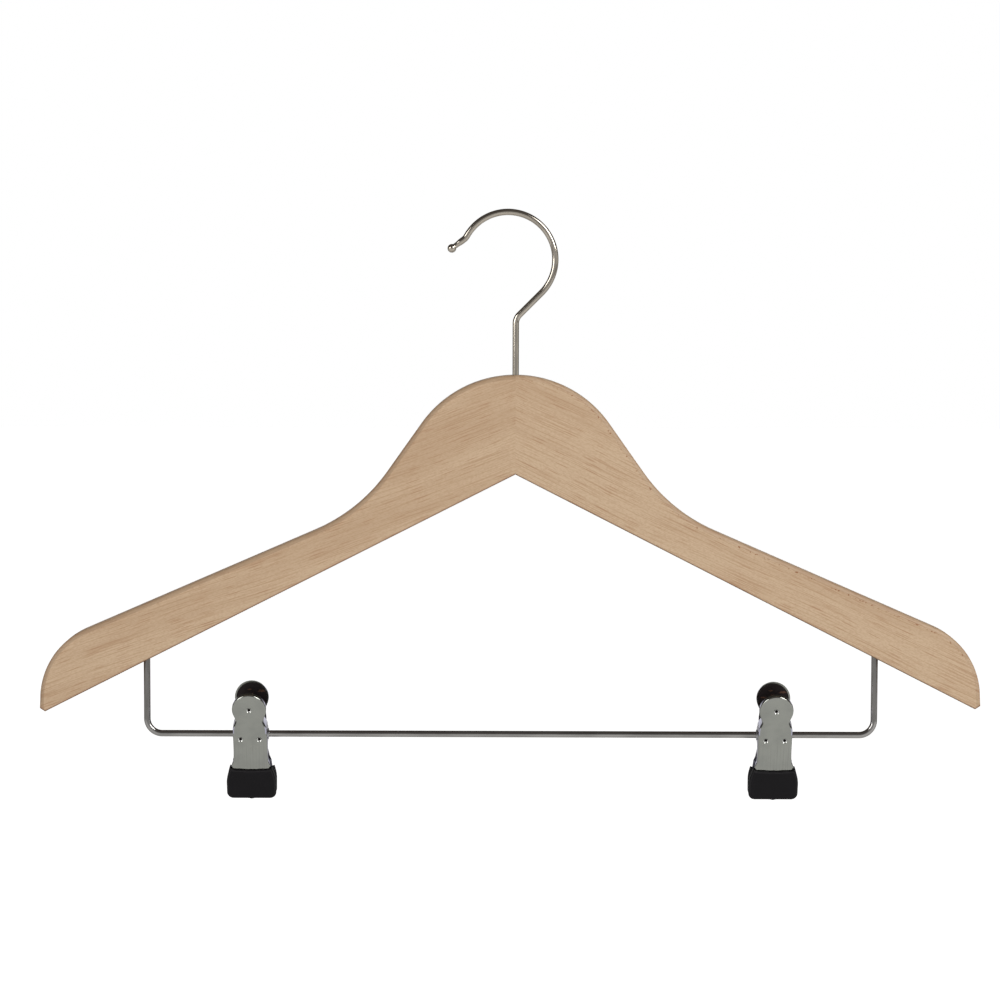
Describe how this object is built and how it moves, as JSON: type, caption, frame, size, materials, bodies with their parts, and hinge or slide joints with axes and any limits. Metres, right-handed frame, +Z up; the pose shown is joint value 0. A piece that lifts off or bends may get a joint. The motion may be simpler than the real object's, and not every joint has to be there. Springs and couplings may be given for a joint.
{
  "type": "clothes_hanger",
  "caption": "Flat beech shirt hanger with mitred arms, a nickelled swivel hook, a wire trouser bar and sprung chromed clips with black dipped jaws.",
  "frame": {"origin": "the hanging point: the inside of the hook's crown, on the axis that the wooden body swivels about", "axes": "+X to the viewer's right along the arms, -Y towards the viewer, +Z up"},
  "size_m": [0.451, 0.025, 0.2841],
  "materials": {
    "beech": "fine sanded and clear lacquered, satin",
    "nickel": "bright nickel plate, warm grey",
    "chrome": "bright plate",
    "spring_steel": "drawn and oiled",
    "vinyl": "soft dipped coat, dull"
  },
  "bodies": {
    "hook": {"hook": "nickel"},
    "hanger": {"left_arm": "beech", "right_arm": "beech", "hook_washer": "spring_steel", "trouser_bar": "chrome"},
    "left_clip_slider": {"left_pivot_rivet": "chrome"},
    "left_clip_rear": {"left_rear_jaw": "chrome", "left_rear_boot": "vinyl", "left_torsion_spring": "spring_steel"},
    "left_clip_front": {"left_front_jaw": "chrome", "left_front_boot": "vinyl"},
    "right_clip_slider": {"right_pivot_rivet": "chrome"},
    "right_clip_rear": {"right_rear_jaw": "chrome", "right_rear_boot": "vinyl", "right_torsion_spring": "spring_steel"},
    "right_clip_front": {"right_front_jaw": "chrome", "right_front_boot": "vinyl"}
  },
  "joints": [
    {"name": "hook_swivel", "type": "hinge", "parent": "hook", "child": "hanger", "pos_m": [0, 0, -0.0756], "axis": [0, 0, 1], "continuous": true},
    {"name": "left_clip_slide", "type": "slide", "parent": "hanger", "child": "left_clip_slider", "axis": [1, 0, 0], "range_m": [-0.033, 0.111]},
    {"name": "left_clip_swing", "type": "hinge", "parent": "left_clip_slider", "child": "left_clip_rear", "pos_m": [-0.1269, 0, -0.2486], "axis": [1, 0, 0], "continuous": true},
    {"name": "left_clip_open", "type": "hinge", "parent": "left_clip_rear", "child": "left_clip_front", "pos_m": [-0.1269, 0, -0.2486], "axis": [-1, 0, 0], "range_deg": [0, 40], "stiffness_Nm_per_rad": 0.25, "springref_deg": -28.65, "deforming": ["left_torsion_spring"]},
    {"name": "right_clip_slide", "type": "slide", "parent": "hanger", "child": "right_clip_slider", "axis": [1, 0, 0], "range_m": [-0.108, 0.031]},
    {"name": "right_clip_swing", "type": "hinge", "parent": "right_clip_slider", "child": "right_clip_rear", "pos_m": [0.125, 0, -0.2486], "axis": [1, 0, 0], "continuous": true},
    {"name": "right_clip_open", "type": "hinge", "parent": "right_clip_rear", "child": "right_clip_front", "pos_m": [0.125, 0, -0.2486], "axis": [-1, 0, 0], "range_deg": [0, 40], "stiffness_Nm_per_rad": 0.25, "springref_deg": -28.65, "deforming": ["right_torsion_spring"]}
  ]
}
